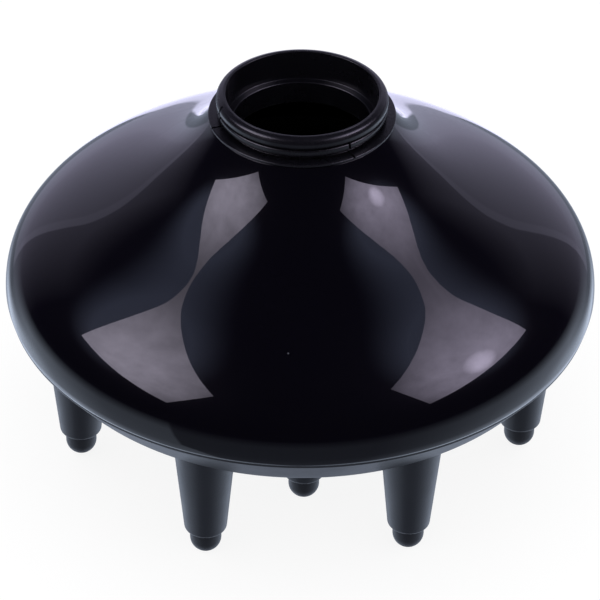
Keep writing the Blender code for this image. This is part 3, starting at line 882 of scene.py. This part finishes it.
def softbox(name, corners, colour, strength, hot_spot, lamp_strength=0.0):
    """A lit cloth panel that only shows in gloss, brightest at its hot spot (azimuth, elevation)."""
    turn = Matrix.Rotation(math.radians(CAMERA_AZIMUTH), 3, "Z")
    body = bmesh.new()
    outline = []
    for azimuth, elevation, distance in corners:
        spot = turn @ sky_direction(azimuth, elevation) * distance + Vector((0.0, 0.0, RIM_HEIGHT))
        outline.append(body.verts.new(spot * MM))
    body.faces.new(outline)
    obj = add(name, mesh_from(body, name))
    material = bpy.data.materials.new(name)
    material.use_nodes = True
    tree = material.node_tree
    tree.nodes.clear()
    towards = node(tree, "ShaderNodeVectorMath", operation="NORMALIZE")
    tree.links.new(node(tree, "ShaderNodeTexCoord").outputs["Object"], towards.inputs[0])
    near = alignment(tree, towards.outputs["Vector"], *hot_spot)
    cloth = within(tree, near, CLOTH_ANGLES, CLOTH_EDGE * strength, strength)
    lamp = within(tree, near, LAMP_ANGLES, 0.0, lamp_strength)
    folds = noise(tree, towards.outputs["Vector"], 6.0, 5.0, 0.65)
    glow = product(tree, total(tree, cloth, lamp), ranged(tree, folds, 0.3, 0.7, 0.84, 1.18))
    emission = node(tree, "ShaderNodeEmission")
    emission.inputs["Color"].default_value = (*colour, 1.0)
    tree.links.new(glow, emission.inputs["Strength"])
    output = node(tree, "ShaderNodeOutputMaterial")
    tree.links.new(emission.outputs["Emission"], output.inputs["Surface"])
    obj.data.materials.append(material)
    obj.visible_camera = False
    obj.visible_shadow = False
    obj.visible_diffuse = False


def sky_direction(azimuth, elevation):
    """Unit vector towards an azimuth and elevation, in degrees."""
    level = math.cos(math.radians(elevation))
    return place(level / MM, azimuth) + Vector((0.0, 0.0, math.sin(math.radians(elevation))))


def alignment(tree, vector, azimuth, elevation):
    """Cosine of the angle between the vector and a direction."""
    made = node(tree, "ShaderNodeVectorMath", operation="DOT_PRODUCT")
    tree.links.new(vector, made.inputs[0])
    made.inputs[1].default_value = sky_direction(azimuth, elevation)
    return made.outputs["Value"]


def within(tree, near, angles, edge, middle):
    """Brightness from an alignment: edge at the wider of two angles, middle at the narrower."""
    wide, narrow = (math.cos(math.radians(angle)) for angle in angles)
    return ranged(tree, near, wide, narrow, edge, middle)


def summed(tree, vector, other):
    """Sum of a vector and another, or a tuple."""
    made = node(tree, "ShaderNodeVectorMath", operation="ADD")
    tree.links.new(vector, made.inputs[0])
    if isinstance(other, tuple):
        made.inputs[1].default_value = other
    else:
        tree.links.new(other, made.inputs[1])
    return made.outputs["Vector"]


def between(tree, value, low, high, blur):
    """1 where the value lies from low to high, with edges of this blur."""
    above = ranged(tree, value, low - blur, low + blur, 0.0, 1.0)
    under = ranged(tree, value, high - blur, high + blur, 1.0, 0.0)
    return product(tree, above, under)


def room_floor(tree, x, back, up):
    """The room's floor: dim in front, crisp at the left's edge, bright close by at the sides."""
    side = node(tree, "ShaderNodeMix", data_type="FLOAT")
    tree.links.new(maths(tree, "LESS_THAN", x, 0.0), side.inputs["Factor"])
    tree.links.new(ranged(tree, back, *FLOOR_AROUND_FRONT_RIGHT), side.inputs["A"])
    tree.links.new(ranged(tree, back, *FLOOR_AROUND_FRONT_LEFT), side.inputs["B"])
    far = product(
        tree,
        side.outputs["Result"],
        ranged(tree, back, *FLOOR_AROUND_SIDES),
        ranged(tree, back, *FLOOR_AROUND_BACK),
        ranged(tree, up, *FLOOR_UP),
    )
    near = product(
        tree,
        ranged(tree, up, *NEAR_FLOOR_UP),
        ranged(tree, back, *NEAR_FLOOR_AROUND_SIDES),
        ranged(tree, back, *NEAR_FLOOR_AROUND_BACK),
    )
    return total(tree, far, near)


def room_wall(tree, back, up):
    """The pale wall behind: upright edges with a trim, a dim return, and a bright strip low down."""
    wall = total(
        tree,
        ranged(tree, back, *WALL_AROUND_EDGE),
        ranged(tree, back, *WALL_AROUND_RETURN),
        ranged(tree, back, *WALL_AROUND_MIDDLE),
        product(tree, between(tree, back, *TRIM_BAND), TRIM_BRIGHTNESS),
    )
    wall = product(
        tree,
        wall,
        ranged(tree, up, *WALL_UP_TOP),
        ranged(tree, up, *WALL_UP_FADE),
        ranged(tree, up, *WALL_UP_FOOT),
    )
    strip = product(tree, between(tree, up, *STRIP_BAND), ranged(tree, back, *STRIP_AROUND))
    return total(tree, wall, strip)


def softbox_spill(tree, turned):
    """Soft light round each softbox, squared so that it dies away gently."""
    glows = []
    for azimuth in SPILL_AZIMUTHS:
        near = alignment(tree, turned, azimuth, SPILL_ELEVATION)
        glow = within(tree, near, SPILL_ANGLES, 0.0, SPILL_BRIGHTNESS)
        glows.append(product(tree, glow, glow))
    return total(tree, *glows)


def room_levels(tree, turned):
    """Brightness of the room's floor, of its wall and of the spill, by direction."""
    split = node(tree, "ShaderNodeSeparateXYZ")
    tree.links.new(turned, split.inputs["Vector"])
    x, y, up = split.outputs["X"], split.outputs["Y"], split.outputs["Z"]
    level = maths(tree, "SQRT", maths(tree, "SUBTRACT", 1.0, product(tree, up, up)), 0.0)
    back = maths(tree, "DIVIDE", y, maths(tree, "MAXIMUM", level, 0.001))
    return room_floor(tree, x, back, up), room_wall(tree, back, up), softbox_spill(tree, turned)


def studio_world():
    """Room in reflections, an even dome as light for matt surfaces, and plain pale for the camera."""
    world = bpy.data.worlds.new("studio")
    bpy.context.scene.world = world
    world.use_nodes = True
    tree = world.node_tree
    tree.nodes.clear()
    turned = node(tree, "ShaderNodeVectorRotate", rotation_type="Z_AXIS")
    turned.inputs["Angle"].default_value = -math.radians(CAMERA_AZIMUTH)
    tree.links.new(node(tree, "ShaderNodeTexCoord").outputs["Generated"], turned.inputs["Vector"])
    levels = room_levels(tree, turned.outputs["Vector"])
    light = ROOM_SHADE
    for colour, level in zip((ROOM_FLOOR_COLOUR, ROOM_WALL_COLOUR, SPILL_COLOUR), levels):
        lit = node(tree, "ShaderNodeVectorMath", operation="SCALE")
        lit.inputs[0].default_value = colour
        tree.links.new(level, lit.inputs["Scale"])
        light = summed(tree, lit.outputs["Vector"], light)
    room = node(tree, "ShaderNodeBackground")
    tree.links.new(light, room.inputs["Color"])
    ray = node(tree, "ShaderNodeLightPath")
    shown = room.outputs["Background"]
    for kind, colour in (("Is Diffuse Ray", DOME_COLOUR), ("Is Camera Ray", BACKDROP_COLOUR)):
        plain = node(tree, "ShaderNodeBackground")
        plain.inputs["Color"].default_value = (*colour, 1.0)
        either = node(tree, "ShaderNodeMixShader")
        tree.links.new(ray.outputs[kind], either.inputs["Fac"])
        tree.links.new(shown, either.inputs[1])
        tree.links.new(plain.outputs["Background"], either.inputs[2])
        shown = either.outputs["Shader"]
    output = node(tree, "ShaderNodeOutputWorld")
    tree.links.new(shown, output.inputs["Surface"])


def area_light(name, position, size, power):
    """A square light that points at the object and doesn't show in gloss."""
    light = bpy.data.lights.new(name, "AREA")
    light.shape = "SQUARE"
    light.size = size
    light.energy = power
    obj = bpy.data.objects.new(name, light)
    obj.location = position
    obj.rotation_euler = (-Vector(position)).to_track_quat("-Z", "Y").to_euler()
    obj.visible_glossy = False
    bpy.context.scene.collection.objects.link(obj)


def camera():
    """A long lens, with the sideways and upward directions turned by the roll."""
    data = bpy.data.cameras.new("camera")
    data.sensor_width = 36.0
    data.lens = CAMERA_LENS
    data.clip_start = 0.05
    data.clip_end = 50.0
    obj = bpy.data.objects.new("camera", data)
    bpy.context.scene.collection.objects.link(obj)
    azimuth = math.radians(CAMERA_AZIMUTH)
    elevation = math.radians(CAMERA_ELEVATION)
    level = math.cos(elevation)
    back = Vector((math.sin(azimuth) * level, -math.cos(azimuth) * level, math.sin(elevation)))
    right = Vector((0.0, 0.0, 1.0)).cross(back).normalized()
    up = back.cross(right)
    roll = math.radians(CAMERA_ROLL)
    sideways = right * math.cos(roll) + up * math.sin(roll)
    upward = up * math.cos(roll) - right * math.sin(roll)
    matrix = Matrix((sideways, upward, back)).transposed().to_4x4()
    matrix.translation = Vector((0.0, 0.0, CAMERA_TARGET_HEIGHT * MM)) + back * CAMERA_DISTANCE * MM
    obj.matrix_world = matrix
    bpy.context.scene.camera = obj


def studio():
    floor()
    studio_world()
    softbox(
        "left_softbox",
        LEFT_SOFTBOX,
        colour=(1.0, 0.92, 1.15),
        strength=4.3,
        hot_spot=(-76.0, 40.0),
    )
    softbox(
        "right_softbox",
        RIGHT_SOFTBOX,
        colour=(1.0, 0.90, 1.2),
        strength=4.0,
        hot_spot=(77.0, 37.0),
        lamp_strength=4.4,
    )
    area_light("overhead", position=(0.0, 0.1, 2.2), size=1.8, power=4.0)
    scene = bpy.context.scene
    scene.view_settings.view_transform = "Standard"
    scene.view_settings.look = "None"


def main():
    gloss = gloss_black()
    collar_plastic = satin_plastic("collar_satin_black", *COLLAR_BLACK)
    inner_plastic = satin_plastic("inner_black", *INNER_BLACK)
    plate_plastic = satin_plastic("plate_satin_slate", *PLATE_SLATE)
    finger_plastic = satin_plastic("finger_satin_slate", *FINGER_SLATE)
    tip_rubber = satin_plastic("tip_soft_black", *TIP_BLACK, grain_scale=900.0)
    bell(gloss)
    collar(collar_plastic)
    retaining_ring(inner_plastic)
    plate(plate_plastic)
    fingers_and_tips(finger_plastic, tip_rubber)
    deflector(inner_plastic)
    screws(zinc_steel())
    studio()
    camera()


main()
